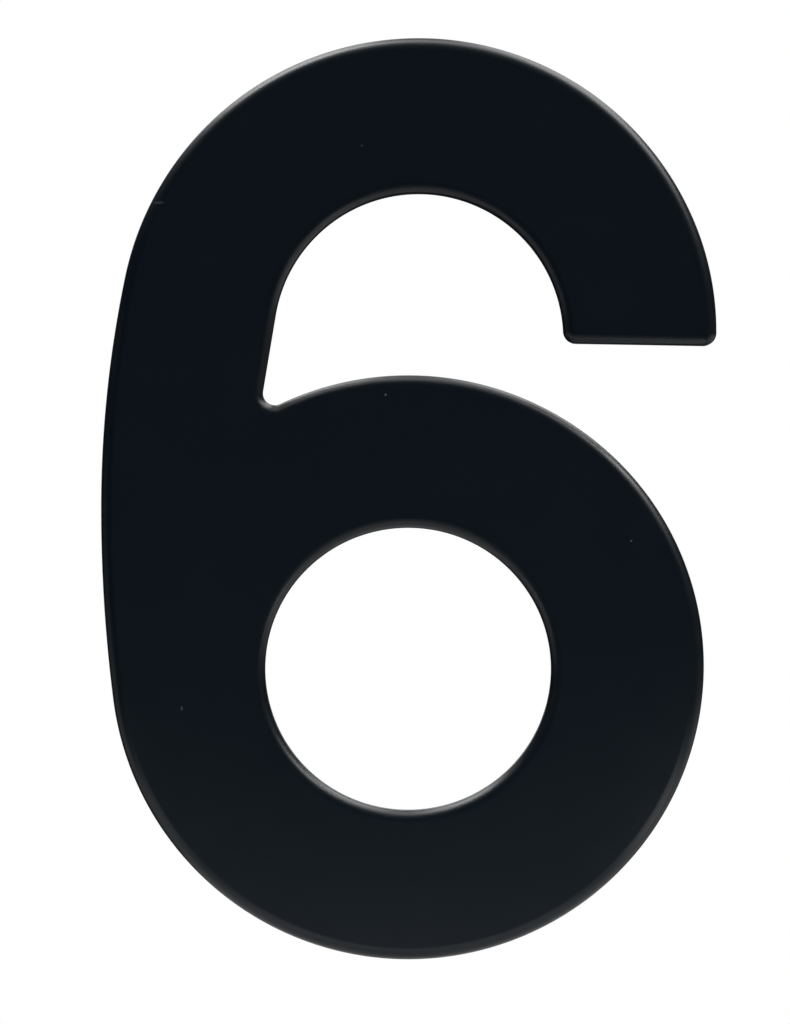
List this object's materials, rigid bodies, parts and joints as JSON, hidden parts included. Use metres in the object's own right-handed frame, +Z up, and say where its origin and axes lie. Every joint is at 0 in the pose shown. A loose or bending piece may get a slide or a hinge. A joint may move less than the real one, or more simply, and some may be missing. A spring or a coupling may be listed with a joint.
{
  "type": "house number",
  "caption": "Upright numeral 6 for a door or wall, with a rounded front edge, satin black finish and blind tapped holes behind for concealed studs.",
  "frame": {"origin": "on the flat back, midway between the numeral's left and right edges and midway between its top and bottom", "axes": "Z is up along the numeral's height, X is to the right as it is read, and Y points out of its back into the wall, so its face looks along -Y"},
  "size_m": [0.1002, 0.006, 0.15],
  "materials": {
    "black_powder_coat": "satin black powder coat"
  },
  "bodies": {
    "root": {"house_number": "black_powder_coat"}
  },
  "joints": []
}
